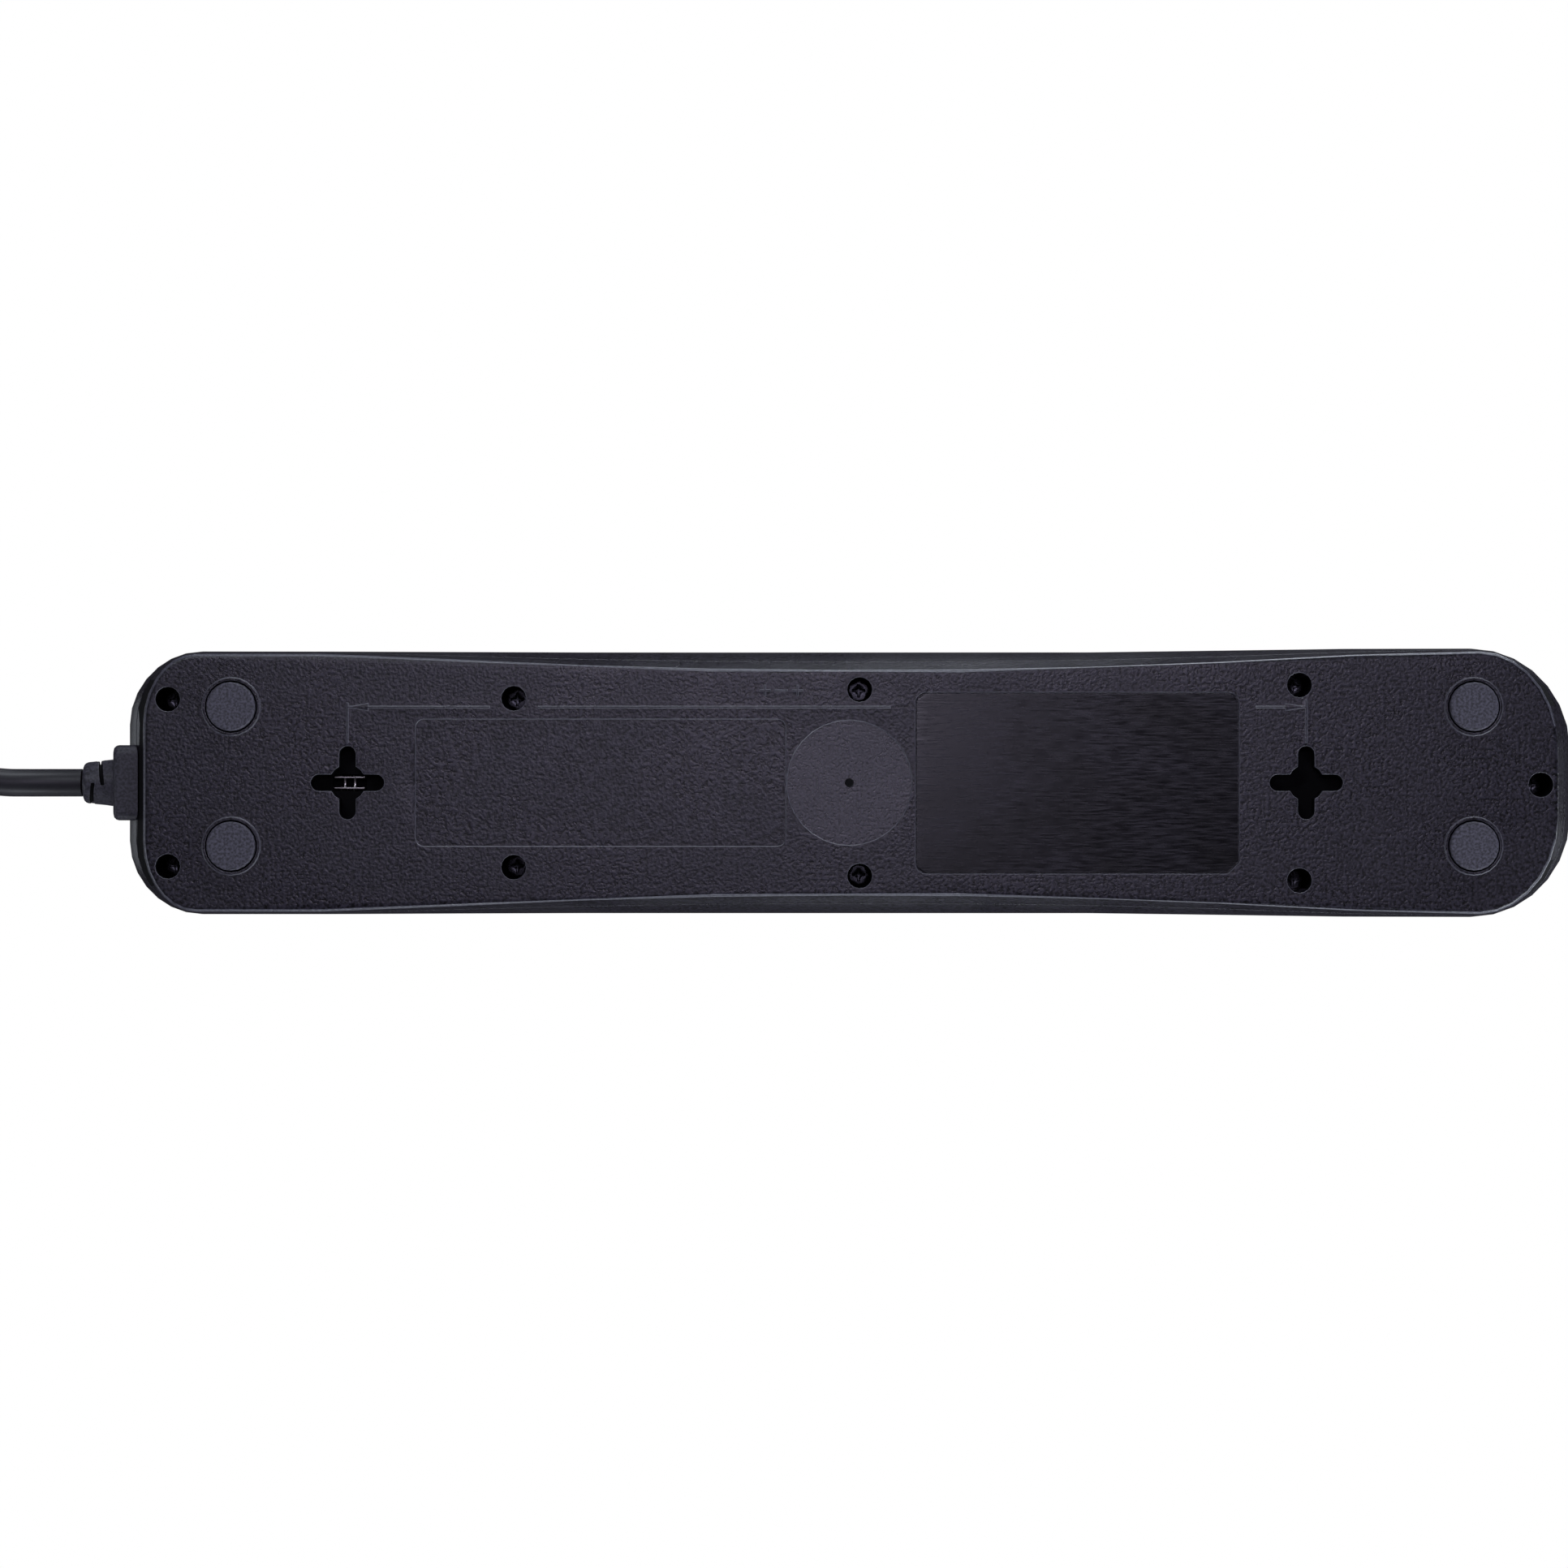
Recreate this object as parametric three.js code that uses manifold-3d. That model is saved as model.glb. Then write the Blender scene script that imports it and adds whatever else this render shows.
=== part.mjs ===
// A six-way power strip with an illuminated rocker switch, two wall-hanging
// keyholes in its underside and a mains lead. Millimetres, +Z up, X along the
// strip with the lead at -X. The origin is under the middle of the body, on the
// plane that the rubber feet stand on.
import * as THREE from 'three';
import { mergeVertices } from 'three/addons/utils/BufferGeometryUtils.js';
import Module from 'manifold-3d';

const wasm = await Module();
wasm.setup();

// ---------------------------------------------------------------- dimensions
const GAP = 0.3; // between pieces that touch
const KEYHOLE_SPACING = 230.5; // the drilling distance moulded into the underside
const KEYHOLE_X = [-121.0, -121.0 + KEYHOLE_SPACING];

// Levels above the plane that the feet stand on.
const FOOT_HEIGHT = 1.6;
const BASE_Z = FOOT_HEIGHT; // underside of the base cover
const PLATE = 2.6; // thickness of the base cover's plate
const PLATE_TOP = BASE_Z + PLATE;
const BASE_RIM_Z = 7.5; // top edge of the base cover's rim
const TOP_EDGE_Z = BASE_RIM_Z + GAP; // lower edge of the top cover
const LIP_Z = 10.0; // top of the base cover's inner lip
const LIP_THICKNESS = 1.2;
const BASE_FULL_Z = 5.2; // where the base cover's wall stops rounding
const WIDEST_Z = 21.0; // the side walls flare out up to here
const TOP_Z = 41.0; // flat top face
const WALL = 2.2;
const BASE_FILLET = 1.2;
const TOP_FILLET = 6.0;
const TOP_DRAFT = 0.3; // the walls lean in by this much above the widest level

// Plan of the widest level and of the base cover's lower edge.
const HALF_LENGTH = 175.6;
const END_BULGE = 0.4;
const CORD_END = { corner: 17.9, width: 32.1, baseInset: 5.6, baseWidth: 31.1 };
const FAR_END = { corner: 24.3, width: 32.8, baseInset: 5.6, baseWidth: 31.7 };
const MIDDLE_WIDTH = 31.9; // half-width halfway along, at the widest level
const WAIST_WIDTH = 27.2; // half-width of the base's edge at its waist
const WAIST_RADIUS = 1900; // of the waist's long shallow arc
const WAIST_X = 2.7;
const FLARE_FROM = 50; // the ends grow wider between these distances
const FLARE_LENGTH = 80;

// Sockets.
const SOCKETS = 6;
const PITCH = 41.5;
const FIRST_SOCKET_X = -143.45;
const SOCKET_TURN = Math.PI / 4;
const WELL_R = 19.6;
const WELL_WALL = 1.4;
const WELL_BOTTOM_Z = 19.0; // lower end of the well's tube
const FLOOR_Z = 23.5; // the well's floor
const PIN_OFFSET = 9.5;
const PIN_HOLE_R = 2.8;
const CLIP_R = 18.0; // distance of the earth clips from a socket's centre

// Screws that hold the two covers together: x, y of each well.
const SCREWS = [
  [-164.2, -20.1], [-164.2, 20.1],
  [-81.05, -20.3], [-81.05, 20.3],
  [2.15, -22.4], [2.15, 22.4],
  [107.85, -23.5], [107.85, 23.5],
  [165.9, 0.5],
];
const SCREW_WELL_R = 3.0;
const TOWER_R = 3.9;
const SCREW_SEAT_Z = 19.0;
const TOWER_TOP_Z = 21.0;
const BOSS_R = 3.6;
const PILOT_R = 1.7;

// Feet.
const FEET = [[-148.95, -18.3], [-148.95, 15.2], [149.75, -18.3], [149.75, 15.2]];
const FOOT_R = 5.9;
const FOOT_SEAT_DEPTH = 1.1;
const FOOT_RIM = { inner: 6.3, outer: 7.15, proud: 0.4 };

// Switch.
const SWITCH = { x: 137, length: 29.6, width: 21.6, bottom: 22.0 };
const ROCKER_PIVOT_Z = 37.5;
const ROCKER_TILT = 7 * Math.PI / 180;

// Mains lead.
const CORD_R = 3.35;
const CORD_Z = 13.0;
const GLAND_MOUTH_X = -186.0;
const NECK = { y: 6, z: 4.9 }; // half the size of the strain relief's neck in the wall
const FLANGE_X = -178.1; // outer face of the strain relief's flange
const COIL = { x: -268, y: 14, inner: 26.6, outer: 47.6, low: 1.2, high: 14.9 };
// The plug lies on the coil with its sleeve dipping to the turns behind it.
const PLUG = { x: COIL.x + 27, y: COIL.y - 27.5, z: 33.9, r: 18.4, face: -13, dip: Math.PI / 12 };
const SLEEVE_END = 43.5;
const PIN_LENGTH = 19;
const PIN_R = 2.4;

// Clamp bar over the strain relief's tail.
const CLAMP_X = -166.0;
const CLAMP_Y = 9.5;
const CLAMP_POST_Z = 12.0;
const CLAMP_POST_R = 2.5;
const CLAMP_HOLE_R = 1.5;

// Metal strips inside.
const STRIP = 0.8; // thickness
const BAR_Z = 9.0; // underside of the live and neutral bars
const EARTH_Z = 11.0; // underside of the earth bar
const EARTH_BAR_END = FIRST_SOCKET_X - 4;
const BAR_Y = PIN_OFFSET * Math.sin(SOCKET_TURN);
const CORE_R = 1.2; // insulated core
const INPUT_X = SWITCH.x - 7; // the switch's terminals
const OUTPUT_X = SWITCH.x + 7;
const TERMINAL_Y = 6;
const TERMINAL_LOW = 14.5;
const SIDE_CHANNEL_Y = 12; // where the cores to the switch run
const SIDE_CHANNEL_Z = 6.4;
const JACKET_END_X = -159.5;
const CORE_START_X = -158.2;
const CORE_Z = 10.2; // of the cores back from the switch

// Underside details.
const KEYHOLE = { armHalf: 2.0, reach: 8.85, centreR: 4.4, wall: 1.2 };
const SHIELD_Z = [7.3, 8.6]; // the roof over each keyhole
const LABEL = { x0: 15.55, y0: -21.7, x1: 93.35, y1: 21.9, r: 2.5, chamfer: 2.7, depth: 0.6 };
const PANEL = {
  x0: -104.65, x1: -15.65, half: 15.3, r: 2, depth: 0.4,
  slope: { radius: 35, width: 2 },
};
const DISC = { x: -0.35, r: 15.1, depth: 0.25, gate: 0.9 };
const RELIEF = [BASE_Z - 0.15, BASE_Z + 0.3]; // levels of the raised marks
const DIMENSION_Y = -18.2;
const SIGN_Y = -22.2;

// ---------------------------------------------------------------- materials
function plastic(color, roughness) {
  return new THREE.MeshStandardMaterial({ color, roughness, metalness: 0 });
}

function metal(color, roughness) {
  return new THREE.MeshStandardMaterial({ color, roughness, metalness: 1 });
}

const blackPlastic = plastic(0x1a191d, 0.55);
const satinLabel = plastic(0x1c1b21, 0.35);
const insertPlastic = plastic(0x222226, 0.45);
const shutterPlastic = plastic(0x8c1f1a, 0.5);
const rubber = plastic(0x343338, 0.85);
const cordRubber = plastic(0x161518, 0.6);
const rockerPlastic = plastic(0xb81410, 0.2);
const lampGlass = plastic(0xffb070, 0.1);
const steel = metal(0xb8b8bc, 0.3);
const brass = metal(0xc8a558, 0.35);
const brownCore = plastic(0x5a3018, 0.5);
const blueCore = plastic(0x1f4f9c, 0.5);
const earthCore = plastic(0x5f9a1e, 0.5);

// ---------------------------------------------------------------- solids
// A closed geometry as a manifold solid, with shared corners welded.
function solid(geometry) {
  const bare = new THREE.BufferGeometry();
  bare.setAttribute('position', geometry.getAttribute('position').clone());
  if (geometry.index) bare.setIndex(geometry.index.clone());
  const welded = mergeVertices(bare, 1e-4);
  const corners = welded.index.array;
  const kept = [];
  for (let i = 0; i < corners.length; i += 3) {
    const [a, b, c] = [corners[i], corners[i + 1], corners[i + 2]];
    if (a !== b && b !== c && c !== a) kept.push(a, b, c);
  }
  return new wasm.Manifold(new wasm.Mesh({
    numProp: 3,
    vertProperties: new Float32Array(welded.getAttribute('position').array),
    triVerts: new Uint32Array(kept),
  }));
}

function geometryOf(shape) {
  const mesh = shape.getMesh();
  const geometry = new THREE.BufferGeometry();
  const corners = new Float32Array(mesh.vertProperties);
  geometry.setAttribute('position', new THREE.BufferAttribute(corners, 3));
  geometry.setIndex(new THREE.BufferAttribute(new Uint32Array(mesh.triVerts), 1));
  geometry.computeVertexNormals();
  return geometry;
}

function join(...shapes) {
  return shapes.reduce((all, next) => all.add(next));
}

function cut(from, ...tools) {
  return tools.reduce((rest, tool) => rest.subtract(tool), from);
}

function box([x0, y0, z0], [x1, y1, z1]) {
  const geometry = new THREE.BoxGeometry(x1 - x0, y1 - y0, z1 - z0);
  geometry.translate((x0 + x1) / 2, (y0 + y1) / 2, (z0 + z1) / 2);
  return solid(geometry);
}

// An upright cylinder or cone between two levels.
function upright(x, y, z0, z1, r0, r1 = r0, sides = 16) {
  const geometry = new THREE.CylinderGeometry(r1, r0, z1 - z0, sides);
  geometry.rotateX(Math.PI / 2);
  geometry.translate(x, y, (z0 + z1) / 2);
  return solid(geometry);
}

// A round bar or cone along X.
function lengthwise(x0, x1, y, z, r0, r1 = r0, sides = 16) {
  const geometry = new THREE.CylinderGeometry(r1, r0, x1 - x0, sides);
  geometry.rotateZ(-Math.PI / 2);
  geometry.translate((x0 + x1) / 2, y, z);
  return solid(geometry);
}

// An upright prism of an outline in plan; each arc has twice as many steps as given.
function prism(shape, z0, z1, arcSteps = 3) {
  const geometry = new THREE.ExtrudeGeometry(shape, {
    depth: z1 - z0, bevelEnabled: false, curveSegments: arcSteps,
  });
  geometry.translate(0, 0, z0);
  return solid(geometry);
}

function roundedRectangle(x0, y0, x1, y1, r) {
  const shape = new THREE.Shape();
  shape.moveTo(x0 + r, y0);
  shape.lineTo(x1 - r, y0);
  shape.absarc(x1 - r, y0 + r, r, -Math.PI / 2, 0);
  shape.lineTo(x1, y1 - r);
  shape.absarc(x1 - r, y1 - r, r, 0, Math.PI / 2);
  shape.lineTo(x0 + r, y1);
  shape.absarc(x0 + r, y1 - r, r, Math.PI / 2, Math.PI);
  shape.lineTo(x0, y0 + r);
  shape.absarc(x0 + r, y0 + r, r, Math.PI, Math.PI * 1.5);
  return shape;
}

// A profile in x, z extruded across y from -half to half.
function across(points, half) {
  const shape = new THREE.Shape(points.map(([x, z]) => new THREE.Vector2(x, z)));
  const geometry = new THREE.ExtrudeGeometry(shape, { depth: 2 * half, bevelEnabled: false });
  geometry.translate(0, 0, -half);
  geometry.rotateX(Math.PI / 2);
  return solid(geometry);
}

// A skin through rings of equally many points, lowest first, closed by flat caps.
function loft(rings) {
  const count = rings[0].length;
  const positions = rings.flat().flatMap((p) => [p.x, p.y, p.z]);
  const index = [];
  for (let level = 0; level + 1 < rings.length; level += 1) {
    for (let i = 0; i < count; i += 1) {
      const a = level * count + i;
      const b = level * count + (i + 1) % count;
      index.push(a, b, b + count, a, b + count, a + count);
    }
  }
  const outline = rings[0].map((p) => new THREE.Vector2(p.x, p.y));
  const lid = THREE.ShapeUtils.triangulateShape(outline, []);
  const top = (rings.length - 1) * count;
  for (const [a, b, c] of lid) {
    index.push(a, c, b);
    index.push(top + a, top + b, top + c);
  }
  const geometry = new THREE.BufferGeometry();
  geometry.setAttribute('position', new THREE.Float32BufferAttribute(positions, 3));
  geometry.setIndex(index);
  return solid(geometry);
}

// A round cord, wire or core along a smooth curve through the points.
function tube(points, radius, sides, steps) {
  const section = new THREE.Shape();
  section.absarc(0, 0, radius, 0, Math.PI * 2);
  const stops = points.map((p) => new THREE.Vector3(...p));
  const curve = new THREE.CatmullRomCurve3(stops, false, 'centripetal');
  return solid(new THREE.ExtrudeGeometry(section, {
    steps, curveSegments: sides / 2, extrudePath: curve, bevelEnabled: false,
  }));
}

// ---------------------------------------------------------------- assembly
const strip = new THREE.Group();

function add(name, shape, material, parent = strip) {
  const mesh = new THREE.Mesh(geometryOf(shape), material);
  mesh.name = name;
  parent.add(mesh);
  return mesh;
}

function placed(x, y, z, turn = 0) {
  const group = new THREE.Group();
  group.position.set(x, y, z);
  group.rotation.z = turn;
  strip.add(group);
  return group;
}

const socketX = Array.from({ length: SOCKETS }, (_, i) => FIRST_SOCKET_X + i * PITCH);

// ---------------------------------------------------------------- the body's plan
function lerp(a, b, t) {
  return a + (b - a) * t;
}

function smooth(t) {
  const s = Math.min(Math.max(t, 0), 1);
  return s * s * (3 - 2 * s);
}

// Half-widths along the strip, at the widest level and at the base's edge.
function widestHalf(x) {
  const end = x > 0 ? FAR_END : CORD_END;
  return lerp(MIDDLE_WIDTH, end.width, smooth((Math.abs(x) - FLARE_FROM) / FLARE_LENGTH));
}

function baseHalf(x) {
  const end = x > 0 ? FAR_END : CORD_END;
  return Math.min(WAIST_WIDTH + (x - WAIST_X) ** 2 / (2 * WAIST_RADIUS), end.baseWidth);
}

// How far the wall has flared out at a level: 0 at the base's edge, 1 at the widest.
function flare(z) {
  const from = BASE_Z + BASE_FILLET;
  return Math.sin(Math.PI / 2 * Math.min(Math.max((z - from) / (WIDEST_Z - from), 0), 1));
}

// One quarter of an end: an elliptical corner that flares with the level.
function corner(end, side, t, e) {
  const centreX = HALF_LENGTH - end.corner;
  const centreY = end.width - end.corner;
  const reachX = lerp(end.corner - end.baseInset, end.corner, e);
  const reachY = lerp(end.baseWidth, end.width, e) - centreY;
  const y = centreY + reachY * Math.sin(t);
  const bulge = END_BULGE * (1 - (y / end.width) ** 2);
  return new THREE.Vector2(side * (centreX + reachX * Math.cos(t) + bulge), y);
}

// The plan at a level, counter-clockwise, moved in by an inset.
function plan(z, inset, steps) {
  const e = flare(z);
  const half = [];
  for (let i = 0; i <= steps.corner; i += 1) {
    half.push(corner(FAR_END, 1, Math.PI / 2 * i / steps.corner, e));
  }
  const from = HALF_LENGTH - FAR_END.corner;
  const to = -(HALF_LENGTH - CORD_END.corner);
  for (let i = 1; i < steps.side; i += 1) {
    const x = lerp(from, to, i / steps.side);
    half.push(new THREE.Vector2(x, lerp(baseHalf(x), widestHalf(x), e)));
  }
  for (let i = steps.corner; i >= 0; i -= 1) {
    half.push(corner(CORD_END, -1, Math.PI / 2 * i / steps.corner, e));
  }
  const mirrored = half.map((p) => new THREE.Vector2(p.x, -p.y)).reverse();
  const ring = [...half, ...mirrored];
  return ring.map((p, i) => {
    const before = ring[(i + ring.length - 1) % ring.length];
    const after = ring[(i + 1) % ring.length];
    const along = new THREE.Vector2().subVectors(after, before).normalize();
    return new THREE.Vector3(p.x - along.y * inset, p.y + along.x * inset, z);
  });
}

const FINE = { corner: 7, side: 10 };
const COARSE = { corner: 3, side: 5 };

// ---------------------------------------------------------------- base cover
// A round hole with four arms, between two levels, grown by a margin.
function keyhole(x, z0, z1, grow = 0) {
  const half = KEYHOLE.armHalf + grow;
  const reach = KEYHOLE.reach + grow;
  const round = upright(x, 0, z0, z1, KEYHOLE.centreR + grow, KEYHOLE.centreR + grow, 16);
  const alongX = roundedRectangle(x - reach, -half, x + reach, half, half - 0.01);
  const alongY = roundedRectangle(x - half, -reach, x + half, reach, half - 0.01);
  return join(round, prism(alongX, z0, z1, 2), prism(alongY, z0, z1, 2));
}

// The slot in the cord end's shield that the earth bar's tab reaches into.
function tabSlot() {
  const slot = box([-4.1, -1.9, SHIELD_Z[0] - 1], [4.1, 1.9, SHIELD_Z[1] + 1]);
  return slot.translate([KEYHOLE_X[0], 0, 0]);
}

function labelOutline(shrink) {
  const { r, chamfer } = LABEL;
  const [x0, y0] = [LABEL.x0 + shrink, LABEL.y0 + shrink];
  const [x1, y1] = [LABEL.x1 - shrink, LABEL.y1 - shrink];
  const shape = new THREE.Shape();
  shape.moveTo(x0 + r, y0);
  shape.lineTo(x1 - r, y0);
  shape.absarc(x1 - r, y0 + r, r, -Math.PI / 2, 0);
  shape.lineTo(x1, y1 - chamfer);
  shape.lineTo(x1 - chamfer, y1);
  shape.lineTo(x0 + r, y1);
  shape.absarc(x0 + r, y1 - r, r, Math.PI / 2, Math.PI);
  shape.lineTo(x0, y0 + r);
  shape.absarc(x0 + r, y0 + r, r, Math.PI, Math.PI * 1.5);
  return shape;
}

// Raised lines that show the distance between the keyholes.
function dimensionLines() {
  const y = DIMENSION_Y;
  const half = 0.22; // of a line's width
  const arrow = { length: 5.0, half: 0.9 };
  const [left, right] = KEYHOLE_X;
  const line = (x0, y0, x1, y1) => box([x0, y0, RELIEF[0]], [x1, y1, RELIEF[1]]);
  const head = (tip, tail) => {
    const away = arrow.half * Math.sign(tip - tail);
    return prism(new THREE.Shape([
      new THREE.Vector2(tail, y + away),
      new THREE.Vector2(tail, y - away),
      new THREE.Vector2(tip, y),
    ]), ...RELIEF);
  };
  return [
    line(left, y - half, -86.8, y + half),
    line(-75.2, y - half, 9.5, y + half),
    line(LABEL.x1 + 4, y - half, right, y + half),
    line(left - half, y - 1.0, left + half, -9.6),
    line(right - half, y - 1.8, right + half, -9.6),
    head(left, left + arrow.length),
    head(right, right - arrow.length),
  ];
}

// A generic sign in place of lettering: two crosses and the line between them.
function keyholeSign() {
  const arm = { half: 1.3, width: 0.2 };
  const bar = (x, halfX, halfY) => box(
    [x - halfX, SIGN_Y - halfY, RELIEF[0]],
    [x + halfX, SIGN_Y + halfY, RELIEF[1]],
  );
  const crosses = [-20.6, -12.8].flatMap((x) => [bar(x, arm.half, arm.width), bar(x, arm.width, arm.half)]);
  return [bar(-16.7, 1.5, 0.16), ...crosses];
}

// The plate and its rim, with a rounded lower edge.
function baseShell() {
  const rings = [0, 0.25, 0.5, 0.75, 1].map((t) => {
    const angle = t * Math.PI / 2;
    const rise = BASE_FILLET * (1 - Math.cos(angle));
    return plan(BASE_Z + rise, BASE_FILLET * (1 - Math.sin(angle)), FINE);
  });
  rings.push(plan(BASE_FULL_Z, 0, FINE), plan(BASE_RIM_Z, 0, FINE));
  const hollow = loft([plan(PLATE_TOP, WALL, COARSE), plan(BASE_RIM_Z + 1, WALL, COARSE)]);
  return cut(loft(rings), hollow);
}

// The lip that reaches up inside the top cover, open where the lead comes in.
function baseLip() {
  const outside = WALL + GAP;
  const inside = outside + LIP_THICKNESS;
  return cut(
    loft([plan(PLATE_TOP - 0.5, outside, COARSE), plan(LIP_Z, outside, COARSE)]),
    loft([plan(PLATE_TOP - 1, inside, COARSE), plan(LIP_Z + 1, inside, COARSE)]),
    box([-200, -9.5, BASE_RIM_Z], [-160, 9.5, LIP_Z + 1]),
  );
}

// The shallow panel, with a sloping crescent along its edge at the cord's end.
function panelRecess() {
  const { x0, x1, half, r, depth, slope } = PANEL;
  const flat = prism(roundedRectangle(x0, -half, x1, half, r), BASE_Z - 1, BASE_Z + depth, 2);
  const outer = slope.radius + slope.width;
  const middle = x0 + slope.radius - slope.width;
  const cone = upright(middle, 0, BASE_Z - depth, BASE_Z + depth, outer, slope.radius - slope.width, 72);
  const crescent = cone.intersect(box([x0 - 5, -half, BASE_Z - 1], [x0 + 0.1, half, BASE_Z + depth]));
  return join(flat, crescent);
}

function baseCover() {
  const low = PLATE_TOP - 1; // where things on the plate start inside it
  const bothSides = [-1, 1];
  const towers = SCREWS.map(([x, y]) => upright(x, y, low, TOWER_TOP_Z, TOWER_R, TOWER_R, 10));
  const clampPosts = bothSides.map((side) => (
    upright(CLAMP_X, side * CLAMP_Y, low, CLAMP_POST_Z, CLAMP_POST_R)));
  const shields = KEYHOLE_X.map((x) => keyhole(x, low, SHIELD_Z[1], KEYHOLE.wall));
  const rims = FEET.map(([x, y]) => (
    upright(x, y, BASE_Z - FOOT_RIM.proud, BASE_Z + 0.5, FOOT_RIM.outer - 0.15, FOOT_RIM.outer, 22)));
  const shell = cut(
    join(baseShell(), baseLip(), ...towers, ...clampPosts, ...shields, ...rims),
    prism(labelOutline(0), BASE_Z - 1, BASE_Z + LABEL.depth),
    panelRecess(),
    upright(DISC.x, 0, BASE_Z - 1, BASE_Z + DISC.depth, DISC.r, DISC.r, 30),
  );
  const gateMark = upright(DISC.x, 0, BASE_Z, BASE_Z + 0.6, DISC.gate, DISC.gate + 0.2, 12);
  return cut(
    join(shell, ...dimensionLines(), ...keyholeSign(), gateMark),
    ...KEYHOLE_X.map((x) => keyhole(x, 0, SHIELD_Z[0])),
    tabSlot(),
    ...SCREWS.map(([x, y]) => upright(x, y, 0, SCREW_SEAT_Z, SCREW_WELL_R, SCREW_WELL_R, 16)),
    ...SCREWS.map(([x, y]) => upright(x, y, SCREW_SEAT_Z - 1, TOWER_TOP_Z + 1, PILOT_R, PILOT_R, 6)),
    ...bothSides.map((side) => (
      upright(CLAMP_X, side * CLAMP_Y, PLATE_TOP + 1, CLAMP_POST_Z + 1, CLAMP_HOLE_R, CLAMP_HOLE_R, 12))),
    ...FEET.map(([x, y]) => (
      upright(x, y, 0, BASE_Z + FOOT_SEAT_DEPTH, FOOT_RIM.inner, FOOT_RIM.inner, 22))),
  );
}

// ---------------------------------------------------------------- top cover
function topCover() {
  const rings = [TOP_EDGE_Z, 10.5, 14, 17.5, WIDEST_Z].map((z) => plan(z, 0, FINE));
  for (const t of [0, 0.25, 0.5, 0.75, 1]) {
    const angle = t * Math.PI / 2;
    const z = TOP_Z - TOP_FILLET * (1 - Math.sin(angle));
    rings.push(plan(z, TOP_DRAFT + TOP_FILLET * (1 - Math.cos(angle)), FINE));
  }
  const hollow = loft([
    plan(TOP_EDGE_Z - 1, WALL, COARSE),
    plan(TOP_EDGE_Z, WALL, COARSE),
    plan(14, WALL, COARSE),
    plan(WIDEST_Z, WALL, COARSE),
    plan(35, WALL + TOP_DRAFT, COARSE),
    plan(TOP_Z - WALL, WALL + 3.2, COARSE),
  ]);
  const wellOutside = WELL_R + WELL_WALL;
  const tubes = socketX.map((x) => upright(x, 0, WELL_BOTTOM_Z, TOP_Z - 1, wellOutside, wellOutside, 16));
  const bosses = SCREWS.map(([x, y]) => upright(x, y, TOWER_TOP_Z + GAP, TOP_Z - 1.5, BOSS_R, BOSS_R, 8));
  const switchHole = box(
    [SWITCH.x - SWITCH.length / 2 - GAP, -SWITCH.width / 2 - GAP, 30],
    [SWITCH.x + SWITCH.length / 2 + GAP, SWITCH.width / 2 + GAP, TOP_Z + 1],
  );
  return cut(
    join(cut(loft(rings), hollow), ...tubes, ...bosses),
    ...socketX.map((x) => upright(x, 0, WELL_BOTTOM_Z - 1, TOP_Z + 1, WELL_R, WELL_R, 32)),
    ...socketX.map((x) => upright(x, 0, TOP_Z - 0.7, TOP_Z + 0.1, WELL_R - 0.1, WELL_R + 0.7, 32)),
    ...SCREWS.map(([x, y]) => upright(x, y, TOWER_TOP_Z, 33, PILOT_R, PILOT_R, 6)),
    switchHole,
    box([-200, -NECK.y - GAP, TOP_EDGE_Z - 2], [-165, NECK.y + GAP, CORD_Z + NECK.z + GAP]),
  );
}

// ---------------------------------------------------------------- fasteners and feet
function coverScrew() {
  const head = upright(0, 0, SCREW_SEAT_Z - GAP - 2.2, SCREW_SEAT_Z - GAP, 2.4, 2.7, 12);
  const shank = upright(0, 0, SCREW_SEAT_Z - GAP - 0.5, 31.5, 1.4, 1.1, 6);
  const slotA = box([-1.6, -0.3, 16], [1.6, 0.3, 17.6]);
  const slotB = box([-0.3, -1.6, 16], [0.3, 1.6, 17.6]);
  return cut(join(head, shank), slotA, slotB);
}

function foot() {
  const edge = 0.35;
  return join(
    upright(0, 0, edge, BASE_Z + FOOT_SEAT_DEPTH - GAP, FOOT_R, FOOT_R, 22),
    upright(0, 0, 0, edge, FOOT_R - edge, FOOT_R, 22),
  );
}

// ---------------------------------------------------------------- socket parts
function socketInsert() {
  const outer = WELL_R - 0.35;
  const floor = upright(0, 0, FLOOR_Z - 1.5, FLOOR_Z, outer, outer, 32);
  const skirt = cut(
    upright(0, 0, WELL_BOTTOM_Z + 0.2, FLOOR_Z - 1, outer, outer, 32),
    upright(0, 0, WELL_BOTTOM_Z, FLOOR_Z - 1.5, outer - 2, outer - 2, 12),
  );
  const post = upright(0, 0, 18.2, FLOOR_Z - 1, 2.2, 2.2, 12);
  const ribs = [-1, 1].map((side) => {
    const rib = box([-1.1, -2.6, FLOOR_Z - 1], [1.1, 2.6, TOP_Z - 2]);
    return rib.translate([side * (outer - 1.4), 0, 0]);
  });
  const holes = [-1, 1].flatMap((side) => [
    upright(side * PIN_OFFSET, 0, FLOOR_Z - 3, FLOOR_Z + 1, PIN_HOLE_R, PIN_HOLE_R, 12),
    upright(side * PIN_OFFSET, 0, FLOOR_Z - 0.6, FLOOR_Z + 0.1, PIN_HOLE_R, PIN_HOLE_R + 0.7, 12),
  ]);
  const notches = [-1, 1].map((side) => (
    box([-3.2, -2, 18], [3.2, 2, 25]).translate([0, side * (CLIP_R + 0.4), 0])));
  return cut(join(floor, skirt, post, ...ribs), ...holes, ...notches);
}

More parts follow.
